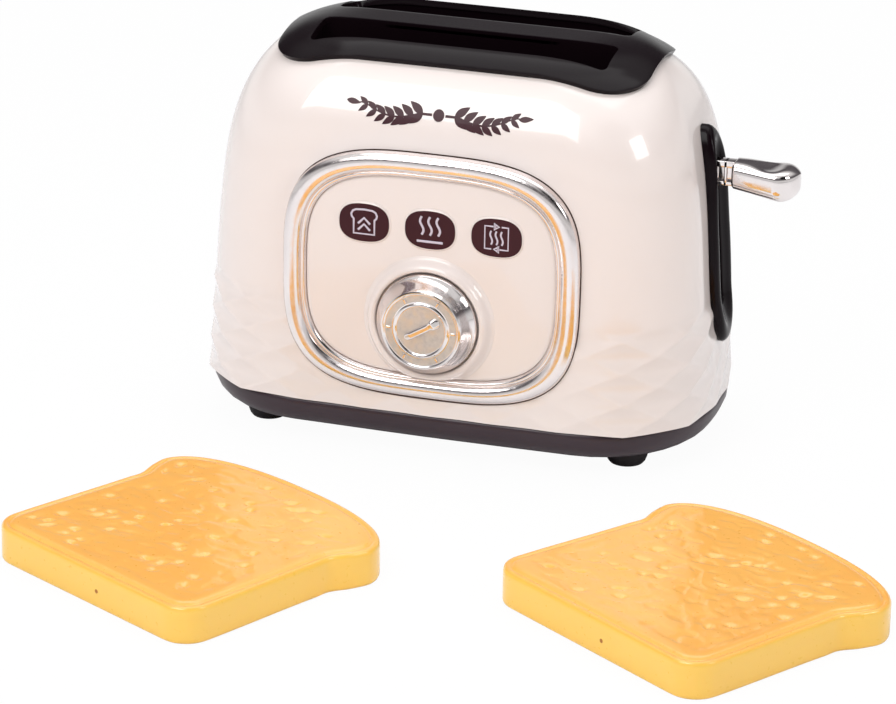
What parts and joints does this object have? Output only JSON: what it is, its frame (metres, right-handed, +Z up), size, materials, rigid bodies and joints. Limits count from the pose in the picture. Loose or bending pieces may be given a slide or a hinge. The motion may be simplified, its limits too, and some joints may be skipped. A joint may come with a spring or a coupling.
{
  "type": "toy toaster",
  "caption": "Cream toy pop-up toaster with a diamond-relief housing, black top and base, chrome-look surround, turning knob, sprung lever and plastic toast slices.",
  "frame": {"origin": "on the table, under the middle of the toaster's housing", "axes": "+X towards the lever, -Y towards the control panel, +Z up"},
  "size_m": [0.306, 0.2899, 0.152],
  "materials": {
    "cream_plastic": "glossy",
    "black_plastic": "satin",
    "chrome": "polished plating",
    "inner_plastic": "matte",
    "steel": "plain",
    "toast_plastic": "glossy"
  },
  "bodies": {
    "housing": {"body_shell": "cream_plastic", "top_cover": "black_plastic", "base_tray": "black_plastic", "foot_front_left": "black_plastic", "foot_front_right": "black_plastic", "foot_rear_left": "black_plastic", "foot_rear_right": "black_plastic", "base_screws": "steel", "cover_screws": "steel", "panel_bezel": "chrome", "control_panel": "cream_plastic", "panel_screws": "steel", "lever_trim": "black_plastic", "trim_screws": "steel", "bread_well_front": "inner_plastic", "bread_well_rear": "inner_plastic", "well_screws": "steel", "guide_rod_front": "steel", "guide_rod_rear": "steel", "rod_bracket": "inner_plastic", "bracket_screws": "steel", "return_spring_front": "steel", "return_spring_rear": "steel", "latch_screw": "steel", "latch_spring": "steel"},
    "lever_slide": {"carriage": "inner_plastic", "lever_handle": "chrome", "lever_screw": "steel"},
    "knob_turning": {"knob": "chrome", "release_cam": "black_plastic", "cam_screw": "steel"},
    "latch": {"latch_hook": "inner_plastic"},
    "slice_left": {"toast_left": "toast_plastic"},
    "slice_right": {"toast_right": "toast_plastic"}
  },
  "joints": [
    {"name": "lever_press", "type": "slide", "parent": "housing", "child": "lever_slide", "axis": [0, 0, -1], "range_m": [0, 0.045], "stiffness_N_per_m": 60, "springref_m": -0.02, "deforming": ["return_spring_front", "return_spring_rear"]},
    {"name": "knob_turn", "type": "hinge", "parent": "housing", "child": "knob_turning", "pos_m": [0, -0.0546, 0.0548], "axis": [0, -1, 0], "range_deg": [-60, 60]},
    {"name": "latch_swing", "type": "hinge", "parent": "housing", "child": "latch", "pos_m": [0.058, -0.0456, 0.084], "axis": [0, -1, 0], "range_deg": [-3.05, 3.05], "deforming": ["latch_spring"]},
    {"name": "lift_left", "type": "slide", "parent": "housing", "child": "slice_left", "axis": [0, 0, 1], "range_m": [0, 0.12]},
    {"name": "lift_right", "type": "slide", "parent": "housing", "child": "slice_right", "axis": [0, 0, 1], "range_m": [0, 0.12]}
  ],
  "couplings": [
    {"joint": "latch_swing", "follows": "knob_turn", "ratio": 0.05}
  ]
}
